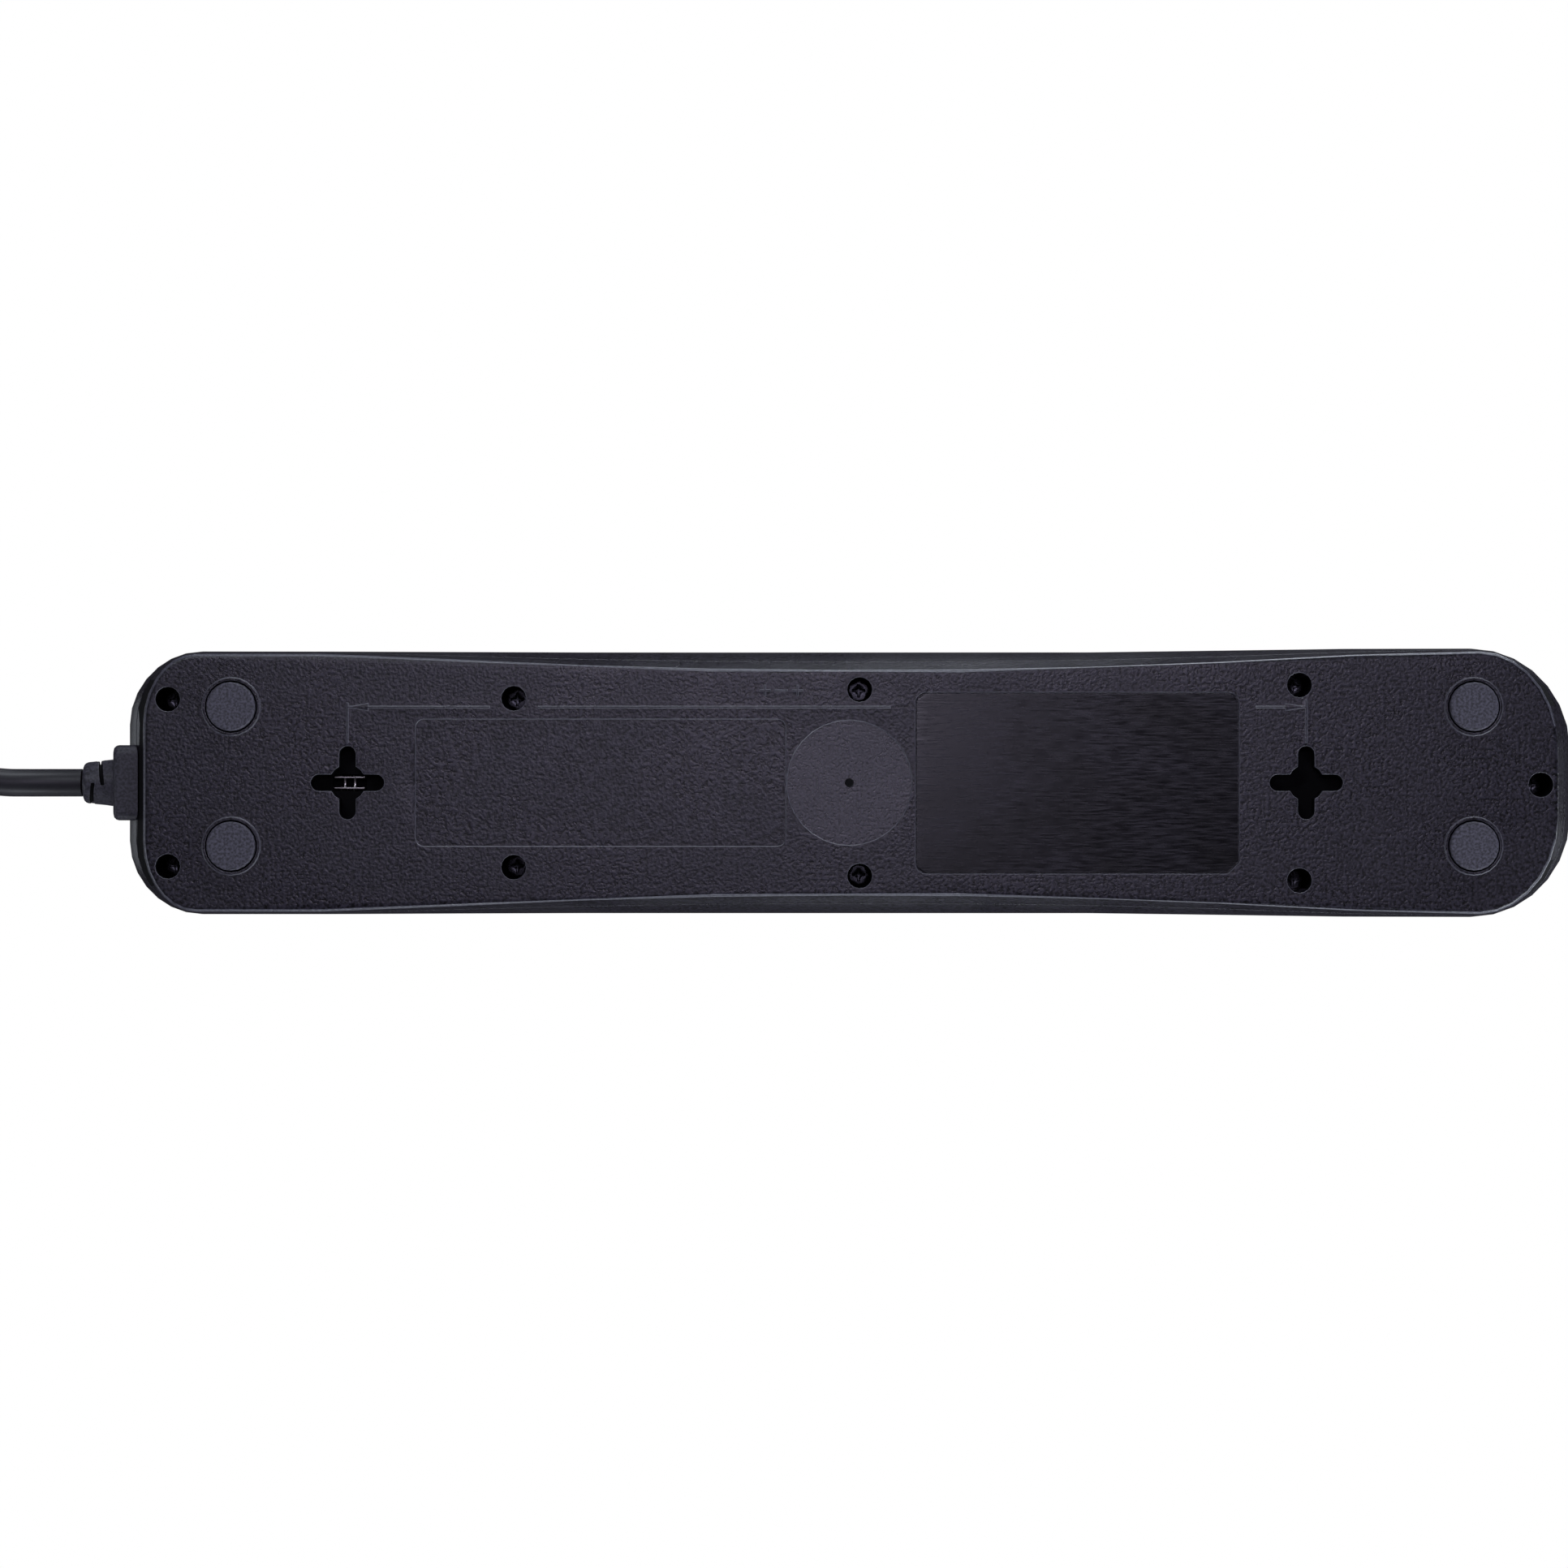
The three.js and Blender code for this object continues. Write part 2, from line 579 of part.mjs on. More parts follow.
// The sprung rotor that covers both pin holes until a plug pushes it round.
function shutter() {
  const low = FLOOR_Z - 3.8;
  const high = FLOOR_Z - 1.9;
  const arms = box([-PIN_OFFSET, -2.2, low], [PIN_OFFSET, 2.2, high]);
  const lobes = [-1, 1].map((side) => upright(side * PIN_OFFSET, 0, low, high, 3.5, 3.5, 8));
  const hub = upright(0, 0, low, high, 4.6, 4.6, 8);
  return cut(join(arms, hub, ...lobes), upright(0, 0, low - 1, high + 1, 2.6, 2.6, 8));
}

// ---------------------------------------------------------------- metal bars
// A live or neutral bar: a flat strip with a pair of spring leaves at each socket.
function contactBar(side) {
  const y = side * BAR_Y;
  const first = socketX[0] + side * BAR_Y;
  const last = socketX[SOCKETS - 1] + side * BAR_Y;
  const flat = box([first - 3.4, y - 3.1, BAR_Z], [last + 9, y + 3.1, BAR_Z + STRIP]);
  const leaves = socketX.flatMap((x) => [-1, 1].map((wall) => {
    const at = y + wall * 2.75;
    return box([x + side * BAR_Y - 3, at - 0.3, BAR_Z + 0.2], [x + side * BAR_Y + 3, at + 0.3, 17.6]);
  }));
  return join(flat, ...leaves);
}

// The earth bar with two sprung side clips at each socket, and a bent tab of two
// walls that holds it in the slot of the keyhole's shield.
function earthBar() {
  const clip = across([
    [CLIP_R - 0.4, EARTH_Z - 0.2], [CLIP_R + 0.4, EARTH_Z - 0.2], [CLIP_R + 0.4, 37.6],
    [CLIP_R - 0.2, 38.6], [CLIP_R - 1.0, 38.4], [CLIP_R - 2.0, 34.6],
    [CLIP_R - 1.9, 32.6], [CLIP_R - 0.9, 28.6], [CLIP_R - 0.4, 27.0],
  ].reverse(), 2.0);
  const arm = box([-CLIP_R, -1.5, EARTH_Z], [CLIP_R, 1.5, EARTH_Z + STRIP]);
  const cross = join(clip, clip.rotate([0, 0, 180]), arm).rotate([0, 0, 90 + SOCKET_TURN * 180 / Math.PI]);
  const spine = box(
    [EARTH_BAR_END, -1.2, EARTH_Z + 0.1],
    [socketX[SOCKETS - 1] + 1, 1.2, EARTH_Z + STRIP - 0.1],
  );
  const tabLow = SHIELD_Z[0] + 0.2;
  const tab = [-1, 1].map((wall) => box([-3.6, -0.2, tabLow], [3.6, 0.2, EARTH_Z + 0.4])
    .translate([KEYHOLE_X[0], wall * 1.3, 0]));
  const posts = [-1, 1].map((end) => box([-0.25, -1.3, tabLow + 0.4], [0.25, 1.3, EARTH_Z + 0.5])
    .translate([KEYHOLE_X[0] + end * 1.2, 0, 0]));
  return join(spine, ...socketX.map((x) => cross.translate([x, 0, 0])), ...tab, ...posts);
}

// ---------------------------------------------------------------- switch
function switchHousing() {
  const halfX = SWITCH.length / 2;
  const halfY = SWITCH.width / 2;
  const frame = (grow, r) => roundedRectangle(-halfX - grow, -halfY - grow, halfX + grow, halfY + grow, r);
  const body = box([-halfX, -halfY, SWITCH.bottom], [halfX, halfY, TOP_Z + 1]);
  const bezel = prism(frame(1.7, 2), TOP_Z + GAP, TOP_Z + 1.2, 4);
  const face = prism(frame(1.1, 1.6), TOP_Z + 1, TOP_Z + 1.7, 4);
  const cavity = box([-12.9, -10.1, 30], [12.9, 10.1, TOP_Z + 3]);
  const axleHoles = lengthwise(-20, 20, 0, ROCKER_PIVOT_Z, 1.6, 1.6, 12).rotate([0, 0, 90]);
  return cut(join(body, bezel, face), cavity, axleHoles);
}

// The rocker about its own axle: a shallow V with a stub axle at each side.
function rockerShape() {
  const key = across([
    [-11.8, -1.2], [-4.0, -2.4], [4.0, -2.4], [11.8, -1.2],
    [11.8, 5.0], [10.9, 5.7], [4.6, 4.5], [0, 4.1], [-4.6, 4.5], [-10.9, 5.7], [-11.8, 5.0],
  ], 9.7);
  const axle = lengthwise(-10.5, 10.5, 0, 0, 1.2, 1.2, 12).rotate([0, 0, 90]);
  return join(key, axle);
}

function terminal() {
  return cut(
    box([-0.4, -2.4, 14.5], [0.4, 2.4, SWITCH.bottom - GAP]),
    lengthwise(-1, 1, 0, 16.5, 0.7, 0.7, 8),
  );
}

// ---------------------------------------------------------------- lead entry
// The strain relief: a flange outside the wall, a slotted tapered sleeve outside
// it, a neck in the wall and a collar and tail inside.
function cordGland() {
  const low = CORD_Z - NECK.z + 0.02;
  const neck = box([FLANGE_X + 1, -NECK.y, low], [-169, NECK.y, CORD_Z + NECK.z]);
  const collar = box([-170.2, -8, low], [-168.4, 8, CORD_Z + NECK.z]);
  const tail = lengthwise(-170, -160, 0, CORD_Z, 4.1, 4.0, 10);
  const bore = lengthwise(GLAND_MOUTH_X - 1, -159, 0, CORD_Z, CORD_R + GAP, CORD_R + GAP, 12);
  return cut(join(flange(), neck, collar, tail, sleeve()), bore, flexSlot(-180.9, -1), flexSlot(-183.2, 1));
}

// A rounded block that fits the end wall's curve.
function flange() {
  const round = 1.3;
  const outline = roundedRectangle(-9.1, CORD_Z - 7.5, 9.1, CORD_Z + 7.5, 2.2);
  const block = new THREE.ExtrudeGeometry(outline, {
    depth: 6,
    bevelEnabled: true,
    bevelThickness: round,
    bevelSize: round,
    bevelOffset: -round,
    bevelSegments: 3,
    curveSegments: 2,
  });
  // The outline's x, y and depth become y, z and x.
  block.applyMatrix4(new THREE.Matrix4().set(
    0, 0, 1, FLANGE_X + round,
    1, 0, 0, 0,
    0, 1, 0, 0,
    0, 0, 0, 1,
  ));
  const levels = [4, BASE_FULL_Z, BASE_RIM_Z, 10.5, 14, 17.5, WIDEST_Z, WIDEST_Z + 3];
  return cut(solid(block), loft(levels.map((z) => plan(z, -GAP, FINE))));
}

function sleeve() {
  const profile = [
    [0, GLAND_MOUTH_X], [4.2, GLAND_MOUTH_X], [4.75, GLAND_MOUTH_X + 0.35], [5.0, GLAND_MOUTH_X + 1.0],
    [5.8, FLANGE_X + 0.5], [0, FLANGE_X + 0.5],
  ].map(([radius, x]) => new THREE.Vector2(radius, x));
  const geometry = new THREE.LatheGeometry(profile, 24);
  geometry.rotateZ(-Math.PI / 2);
  return solid(geometry).translate([0, 0, CORD_Z]);
}

// Slanting ring cuts in the sleeve, each in two opposite quarters: side says
// which of the lower quarters.
function flexSlot(x, side) {
  const width = 0.85;
  const slant = 9; // degrees
  const ring = cut(
    lengthwise(-width / 2, width / 2, 0, 0, 9, 9, 24),
    lengthwise(-1, 1, 0, 0, 4.45, 4.45, 14),
  );
  const quarter = box([-1, 0, -10], [1, 10, 0.6]);
  const lower = quarter.rotate([side > 0 ? 0 : 90, 0, 0]);
  const upper = lower.rotate([180, 0, 0]);
  const slot = join(ring.intersect(lower), ring.intersect(upper));
  return slot.rotate([0, 0, side * slant]).translate([x, 0, CORD_Z]);
}

function clampBar() {
  const [x0, x1] = [CLAMP_X - 2, CLAMP_X + 2];
  const bar = box([x0, -12.1, 17.4], [x1, 12.1, 18.7]);
  const legs = [-1, 1].map((side) => box([x0, -2.6, CLAMP_POST_Z + GAP], [x1, 2.6, 17.8])
    .translate([0, side * CLAMP_Y, 0]));
  const holes = [-1, 1].map((side) => (
    upright(CLAMP_X, side * CLAMP_Y, 10, 21, CLAMP_HOLE_R, CLAMP_HOLE_R, 12)));
  return cut(join(bar, ...legs), ...holes);
}

function clampScrew() {
  const head = upright(0, 0, 19.0, 20.5, 2.3, 2.1, 12);
  const shank = upright(0, 0, 7.0, 19.4, 0.9, 1.2, 6);
  return cut(join(head, shank), box([-2.5, -0.3, 19.9], [2.5, 0.3, 22]));
}

// ---------------------------------------------------------------- lead, coil and plug
// The lead leaves the strain relief straight, sinks towards the table and turns
// aside to meet the coil.
const LEAD_ROUTE = [
  [-186.5, 0, 13.0], [-190, 0, 13.0], [-195, 0, 12.75], [-200, 0, 12.1],
  [-205, -0.1, 11.05], [-210, -0.8, 9.85], [-215, -2.45, 8.55], [-220, -5.25, 7.2],
];

// Over the top of the coil and up into the plug's sleeve, from the coil's centre.
const TAIL_ROUTE = [
  [-38.0, 21.9, 18.6], [-28.0, 33.3, 18.6], [-11.3, 39.8, 18.6], [-1.5, 41.5, 18.6],
  [8.3, 39.8, 18.6], [16.8, 34.8, 18.8], [22.7, 28.1, 19.7], [25.9, 20.9, 21.1],
  [26.95, 15.4, 22.4],
].map(([x, y, z]) => [COIL.x + x, COIL.y + y, z]);

// The outer shape of the coiled turns.
function coilRing() {
  const { inner, outer, low, high } = COIL;
  const edge = 2;
  const profile = [
    [inner, low + edge], [inner + edge, low], [outer - edge, low], [outer, low + edge],
    [outer, high - edge], [outer - edge, high], [inner + edge, high], [inner, high - edge],
    [inner, low + edge],
  ].map(([r, z]) => new THREE.Vector2(r, z));
  const geometry = new THREE.LatheGeometry(profile, 24);
  geometry.rotateX(Math.PI / 2);
  geometry.translate(COIL.x, COIL.y, 0);
  return solid(geometry);
}

// A strap round the coil's bundle of turns.
function coilTie() {
  const half = 6;
  const [x0, x1] = [COIL.inner - 2.1, COIL.outer + 1.2];
  const outside = box([x0, -half, 0], [x1, half, COIL.high + 1.2]);
  const inside = box([x0 + 0.9, -half - 1, 0.9], [x1 - 0.9, half + 1, COIL.high + GAP]);
  return cut(outside, inside).rotate([0, 0, -90]).translate([COIL.x, COIL.y, 0]);
}

// A moulded angled plug about the middle of its round body: the pins point to -X
// and the lead's sleeve to +Y.
function plugBody() {
  const { r, face } = PLUG;
  const profile = [
    [0, face], [r - 0.8, face], [r, face + 0.8], [r, -2], [r - 0.9, 3], [r - 3.4, 8.5],
    [r - 7.4, 12.8], [r - 12.4, 15], [0, 15.6],
  ].map(([radius, x]) => new THREE.Vector2(radius, x));
  const round = new THREE.LatheGeometry(profile, 24);
  round.rotateZ(-Math.PI / 2);
  const sleeve = lengthwise(10, SLEEVE_END, 0, 0, 8.2, 5.2, 24).rotate([0, 0, 90]);
  const guides = [-1, 1].map((side) => (
    box([face - 1, -2.8, -1.2], [-3, 2.8, 1.2]).translate([0, 0, side * r])));
  const earths = [-1, 1].map((side) => (
    box([face - 1, -1.1, -3.6], [-4, 1.1, 3.6]).translate([0, side * r, 0])));
  return cut(join(solid(round), sleeve), ...guides, ...earths);
}

function plugPin() {
  const tip = PLUG.face - PIN_LENGTH;
  const root = PLUG.face - GAP;
  const profile = [
    [0, tip], [PIN_R * 0.5, tip + 0.35], [PIN_R * 0.87, tip + 1.2], [PIN_R, tip + 2.4],
    [PIN_R, root], [0, root],
  ].map(([radius, x]) => new THREE.Vector2(radius, x));
  const geometry = new THREE.LatheGeometry(profile, 14);
  geometry.rotateZ(-Math.PI / 2);
  return solid(geometry);
}

function plugEarthStrip() {
  return box([PLUG.face + 0.4, -0.3, -3.0], [-4.6, 0.3, 3.0]);
}

// ---------------------------------------------------------------- inner wiring
// From the lead's end along a side channel to the switch.
function inputCore(side) {
  return tube([
    [CORE_START_X, side * 1.5, 12.2], [-157.0, side * 2.4, 11.2], [-156.0, side * 6.2, 8.0],
    [-153.4, side * 10.6, 6.5], [-146, side * SIDE_CHANNEL_Y, SIDE_CHANNEL_Z],
    [-60, side * SIDE_CHANNEL_Y, SIDE_CHANNEL_Z], [30, side * SIDE_CHANNEL_Y, SIDE_CHANNEL_Z],
    [112, side * SIDE_CHANNEL_Y, SIDE_CHANNEL_Z], [122, side * 10.5, 7.0], [128, side * 7, 9.5],
    [INPUT_X, side * TERMINAL_Y, 12], [INPUT_X, side * TERMINAL_Y, TERMINAL_LOW - GAP],
  ], CORE_R, 6, 26);
}

// From the switch back to the end of a contact bar.
function outputCore(side) {
  const barEnd = socketX[SOCKETS - 1] + side * BAR_Y + 9;
  return tube([
    [OUTPUT_X, side * TERMINAL_Y, TERMINAL_LOW - GAP], [143.4, side * 5.6, 12.0],
    [139.5, side * 3.6, 10.5], [134, side * 2.6, CORE_Z], [110, side * 2.5, CORE_Z],
    [barEnd + 16, side * 2.6, CORE_Z], [barEnd + 10, side * 4.2, 9.9],
    [barEnd + 5, side * 6.1, 9.5], [barEnd + 2, side * BAR_Y, 9.4],
    [barEnd + 0.4, side * BAR_Y, 9.4],
  ], CORE_R, 6, 16);
}

// From the lead's end to the near end of the earth bar.
function earthCoreWire() {
  const middle = EARTH_Z + STRIP / 2;
  return tube([
    [CORE_START_X, 0, 14.6], [-156, 0, 14.3], [-153, 0, 13.0], [-151, 0, 11.9],
    [EARTH_BAR_END - 2, 0, middle], [EARTH_BAR_END - 0.4, 0, middle],
  ], CORE_R, 6, 8);
}

// ---------------------------------------------------------------- the pieces
add('base_cover', baseCover(), blackPlastic);
add('top_cover', topCover(), blackPlastic);
add('rating_label', prism(labelOutline(GAP), BASE_Z + 0.05, BASE_Z + LABEL.depth - GAP), satinLabel);

FEET.forEach(([x, y], i) => add(`foot_${i + 1}`, foot(), rubber, placed(x, y, 0)));
SCREWS.forEach(([x, y], i) => add(`cover_screw_${i + 1}`, coverScrew(), steel, placed(x, y, 0)));

socketX.forEach((x, i) => {
  const socket = placed(x, 0, 0, SOCKET_TURN);
  add(`socket_insert_${i + 1}`, socketInsert(), insertPlastic, socket);
  add(`shutter_${i + 1}`, shutter(), shutterPlastic, socket);
});

add('live_bar', contactBar(-1), brass);
add('neutral_bar', contactBar(1), brass);
add('earth_bar', earthBar(), steel);

const switchGroup = placed(SWITCH.x, 0, 0);
add('switch_housing', switchHousing(), blackPlastic, switchGroup);
add('switch_lamp', lengthwise(-4.5, 4.5, 0, 31.9, 1.5, 1.5, 10), lampGlass, switchGroup);
const rocker = add('rocker', rockerShape(), rockerPlastic, switchGroup);
rocker.position.z = ROCKER_PIVOT_Z;
rocker.rotation.y = -ROCKER_TILT;
add('terminal_live_in', terminal(), brass, placed(INPUT_X, -TERMINAL_Y, 0));
add('terminal_live_out', terminal(), brass, placed(OUTPUT_X, -TERMINAL_Y, 0));
add('terminal_neutral_in', terminal(), brass, placed(INPUT_X, TERMINAL_Y, 0));
add('terminal_neutral_out', terminal(), brass, placed(OUTPUT_X, TERMINAL_Y, 0));

add('wire_live_in', inputCore(-1), brownCore);
add('wire_neutral_in', inputCore(1), blueCore);
add('wire_live_out', outputCore(-1), brownCore);
add('wire_neutral_out', outputCore(1), blueCore);
add('wire_earth', earthCoreWire(), earthCore);

add('cord_gland', cordGland(), blackPlastic);
const jacketEnd = lengthwise(GLAND_MOUTH_X + 0.2, JACKET_END_X, 0, CORD_Z, CORD_R);
add('cord_jacket_end', jacketEnd, cordRubber);
add('clamp_bar', clampBar(), blackPlastic);
[-1, 1].forEach((side, i) => {
  add(`clamp_screw_${i + 1}`, clampScrew(), steel, placed(CLAMP_X, side * CLAMP_Y, 0));
});

add('cord_lead', tube(LEAD_ROUTE, CORD_R, 10, 14), cordRubber);
add('cord_coil', coilRing(), cordRubber);
add('cord_tail', tube(TAIL_ROUTE, CORD_R, 10, 16), cordRubber);
add('coil_tie', coilTie(), rubber);

const plug = placed(PLUG.x, PLUG.y, PLUG.z);
plug.rotation.x = -PLUG.dip;
add('plug_body', plugBody(), cordRubber, plug);
[-1, 1].forEach((side, i) => {
  const pin = add(`plug_pin_${i + 1}`, plugPin(), steel, plug);
  pin.position.z = side * PIN_OFFSET;
  const earth = add(`plug_earth_strip_${i + 1}`, plugEarthStrip(), steel, plug);
  earth.position.y = side * (PLUG.r - 0.5);
});

export default strip;
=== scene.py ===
"""A six-way power strip seen from below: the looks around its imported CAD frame.

Everything is in metres in the frame's own axes: +X along the strip away from the
mains lead, +Z up, the rubber feet standing on z = 0.
"""
import math

import bmesh
import bpy
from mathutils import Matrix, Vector


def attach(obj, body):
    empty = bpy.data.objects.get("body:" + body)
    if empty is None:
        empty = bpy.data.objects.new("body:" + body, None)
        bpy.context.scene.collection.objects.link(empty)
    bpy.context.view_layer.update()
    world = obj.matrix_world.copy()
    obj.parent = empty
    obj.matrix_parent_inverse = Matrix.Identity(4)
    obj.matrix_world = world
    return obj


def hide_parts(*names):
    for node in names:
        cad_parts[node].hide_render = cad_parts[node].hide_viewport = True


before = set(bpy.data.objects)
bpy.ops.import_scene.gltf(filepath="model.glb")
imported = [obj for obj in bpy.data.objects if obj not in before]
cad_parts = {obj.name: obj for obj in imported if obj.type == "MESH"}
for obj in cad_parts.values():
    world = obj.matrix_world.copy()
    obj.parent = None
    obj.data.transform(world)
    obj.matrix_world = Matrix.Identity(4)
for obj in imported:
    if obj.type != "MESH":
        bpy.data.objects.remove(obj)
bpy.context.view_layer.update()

MM = 0.001
SOCKETS = 6
SCREWS = 9
FEET = 4
CORD_R = 3.35 * MM
CORD_EXIT = (-186 * MM, 0, 13 * MM)  # where the lead leaves the strain relief
BASE_Z = 1.6 * MM  # the underside's level; the feet stand below it
KEYHOLE_X = -121 * MM  # the keyhole with the earth bar's tab
DISC = (-0.35 * MM, 0.0, 15.2 * MM)  # centre and reach of the smooth patch
GATE_R = 1.2 * MM  # the gate mark in the middle of that patch
COIL_X = -268 * MM
COIL_Y = 14 * MM
COIL_R = 43.9  # the middle of the outermost turn, in millimetres like the lead's route


# ------------------------------------------------------------------ camera
def make_camera():
    """Straight up at the underside from a metre below it."""
    distance = 1.047
    along, across = -16.05 * MM, 0.3 * MM
    data = bpy.data.cameras.new("camera")
    data.lens = 100
    data.sensor_width = 36
    data.clip_start = 0.01
    camera = bpy.data.objects.new("camera", data)
    camera.location = (along, across, BASE_Z - distance)
    camera.rotation_euler = (math.pi, 0, 0)
    bpy.context.scene.collection.objects.link(camera)
    bpy.context.scene.camera = camera


# ------------------------------------------------------------------ mains lead
# Straight out of the strain relief, down to the table and aside to the coil.
LEAD_ROUTE = [
    (-186.5, 0, 13.0), (-190, 0, 13.0), (-195, 0, 12.75), (-200, 0, 12.1),
    (-205, -0.1, 11.05), (-210, -0.8, 9.85), (-215, -2.45, 8.55), (-220, -5.25, 7.2),
    (-226.5, -9.95, 5.75), (-234, -15.45, 4.75),
]
# Over the top of the coil into the plug's sleeve, from the coil's centre.
TAIL_ROUTE = [
    (-38.0, 21.9, 18.6), (-28.0, 33.3, 18.6), (-11.3, 39.8, 18.6), (-1.5, 41.5, 18.6),
    (8.3, 39.8, 18.6), (16.8, 34.8, 18.8), (22.7, 28.1, 19.7), (25.9, 20.9, 21.1),
    (26.95, 15.4, 22.4),
]
TURN_GAP = 6.9  # from the middle of one turn to the next


def eased(t):
    """0 up to t = 0 and 1 from t = 1 on, with a smooth passage between."""
    t = min(max(t, 0), 1)
    return t * t * (3 - 2 * t)


def coil_turns():
    """Three turns inwards on the table, then outwards on top of them, clockwise."""
    shift = 80  # degrees in which the cord moves over by one turn
    inwards = (280, 640)  # degrees turned so far where such a move begins
    outwards = (1200, 1560)
    upwards = 920  # where the cord climbs onto the turns it has laid
    table = 4.55  # the first layer's level
    climb = 7.15  # from the second layer up to the plug's end of the lead
    climbs_at = 1848  # where that climb begins
    points = []
    for turned in range(0, 1929, 15):
        radius = COIL_R
        radius -= TURN_GAP * sum(eased((turned - start) / shift) for start in inwards)
        radius += TURN_GAP * sum(eased((turned - start) / shift) for start in outwards)
        height = table + TURN_GAP * eased((turned - upwards) / shift)
        height += climb * eased((turned - climbs_at) / shift)
        angle = math.radians(-54 - turned)
        points.append((radius * math.cos(angle), radius * math.sin(angle), height))
    return points


def make_cord():
    """The whole lead as one tube, and the line along its middle."""
    route = [Vector(p) * MM for p in LEAD_ROUTE]
    centre = Vector((COIL_X, COIL_Y, 0))
    route += [centre + Vector(p) * MM for p in coil_turns() + TAIL_ROUTE]
    curve = bpy.data.curves.new("lead_route", "CURVE")
    curve.dimensions = "3D"
    curve.resolution_u = 5
    curve.use_fill_caps = True
    spline = curve.splines.new("BEZIER")
    spline.bezier_points.add(len(route) - 1)
    for point, place in zip(spline.bezier_points, route):
        point.co = place
        point.handle_left_type = "AUTO"
        point.handle_right_type = "AUTO"
    line = bpy.data.objects.new("lead_route", curve)
    bpy.context.scene.collection.objects.link(line)
    path = [v.co.copy() for v in mesh_of(line).vertices]
    curve.bevel_depth = CORD_R
    curve.bevel_resolution = 7
    tube = mesh_of(line)
    bpy.data.objects.remove(line)
    for face in tube.polygons:
        face.use_smooth = len(face.vertices) == 4
    lead = bpy.data.objects.new("mains_lead", tube)
    bpy.context.scene.collection.objects.link(lead)
    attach(lead, "housing")
    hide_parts("cord_lead", "cord_coil", "cord_tail")
    return lead, path


def mesh_of(source):
    """The finished mesh of an object, with its curve or modifiers worked out."""
    bpy.context.view_layer.update()
    depsgraph = bpy.context.evaluated_depsgraph_get()
    return bpy.data.meshes.new_from_object(source.evaluated_get(depsgraph), depsgraph=depsgraph)


# ------------------------------------------------------------------ materials
def shader(name):
    """A new material's node tree with its Principled shader."""
    material = bpy.data.materials.new(name)
    material.use_nodes = True
    nodes = material.node_tree.nodes
    links = material.node_tree.links
    return material, nodes, links, nodes["Principled BSDF"]


def noise(nodes, links, size, detail=2.0, stretch=(1, 1, 1)):
    """Noise whose grains are size metres across, stretched along the axes."""
    place = nodes.new("ShaderNodeTexCoord")
    mapping = nodes.new("ShaderNodeMapping")
    mapping.inputs["Scale"].default_value = [1 / s for s in stretch]
    links.new(place.outputs["Object"], mapping.inputs["Vector"])
    texture = nodes.new("ShaderNodeTexNoise")
    texture.inputs["Scale"].default_value = 1 / size
    texture.inputs["Detail"].default_value = detail
    links.new(mapping.outputs["Vector"], texture.inputs["Vector"])
    return texture.outputs["Fac"]


def spread(nodes, links, value, low, high, to_low, to_high):
    """value from low..high moved to to_low..to_high, held at the ends."""
    node = nodes.new("ShaderNodeMapRange")
    links.new(value, node.inputs["Value"])
    node.inputs["From Min"].default_value = low
    node.inputs["From Max"].default_value = high
    node.inputs["To Min"].default_value = to_low
    node.inputs["To Max"].default_value = to_high
    return node.outputs["Result"]


def mixed(nodes, links, factor, first, second):
    """A colour mixed from first to second; second may be a socket."""
    node = nodes.new("ShaderNodeMix")
    node.data_type = "RGBA"
    links.new(factor, node.inputs["Factor"])
    for socket, colour in ((node.inputs[6], first), (node.inputs[7], second)):
        if isinstance(colour, tuple):
            socket.default_value = (*colour, 1)
        else:
            links.new(colour, socket)
    return node.outputs[2]


def scaled(colour, factor):
    """A colour made darker or lighter, with no part of it above 1."""
    return tuple(min(c * factor, 1) for c in colour)


def edge_wear_and_highlight(nodes, links, radius):
    """1 along sharp edges, 0 on open faces: where edges are lightened, partly by rubbing and
    partly as painted highlight.
    """
    rounded = nodes.new("ShaderNodeBevel")
    rounded.samples = 4
    rounded.inputs["Radius"].default_value = radius
    geometry = nodes.new("ShaderNodeNewGeometry")
    dot = nodes.new("ShaderNodeVectorMath")
    dot.operation = "DOT_PRODUCT"
    links.new(rounded.outputs["Normal"], dot.inputs[0])
    links.new(geometry.outputs["Normal"], dot.inputs[1])
    return spread(nodes, links, dot.outputs["Value"], 0.98, 0.8, 0, 1)


def bump(nodes, links, principled, height, depth):
    """Shades the surface as if height, from 0 to 1, raised it by up to depth metres."""
    node = nodes.new("ShaderNodeBump")
    node.inputs["Strength"].default_value = 1.0
    node.inputs["Distance"].default_value = depth
    links.new(height, node.inputs["Height"])
    links.new(node.outputs["Normal"], principled.inputs["Normal"])


def moulded(name, colour, roughness, grain=0.4 * MM, depth=0.02 * MM, mottle=0.25, wear_and_highlight=1.5,
            shine=0.5):
    """Moulded plastic or rubber: fine grain, faint mottling, and edges lightened partly by rubbing
    and partly as painted highlight.
    """
    material, nodes, links, principled = shader(name)
    fine = noise(nodes, links, grain, 3)
    broad = noise(nodes, links, 24 * MM, 2)
    tone = spread(nodes, links, fine, 0.36, 0.64, 0, 1)
    base = mixed(nodes, links, tone, scaled(colour, 1 - mottle), scaled(colour, 1 + mottle))
    # edges lightened partly by rubbing and partly as painted highlight
    edge_highlight = edge_wear_and_highlight(nodes, links, 0.3 * MM)
    part = spread(nodes, links, edge_highlight, 0, 1, 0, 0.8)
    links.new(mixed(nodes, links, part, base, scaled(colour, wear_and_highlight)),
              principled.inputs["Base Color"])
    links.new(spread(nodes, links, broad, 0.35, 0.65, roughness - 0.04, roughness + 0.04),
              principled.inputs["Roughness"])
    principled.inputs["Specular IOR Level"].default_value = shine
    bump(nodes, links, principled, fine, depth)
    return material


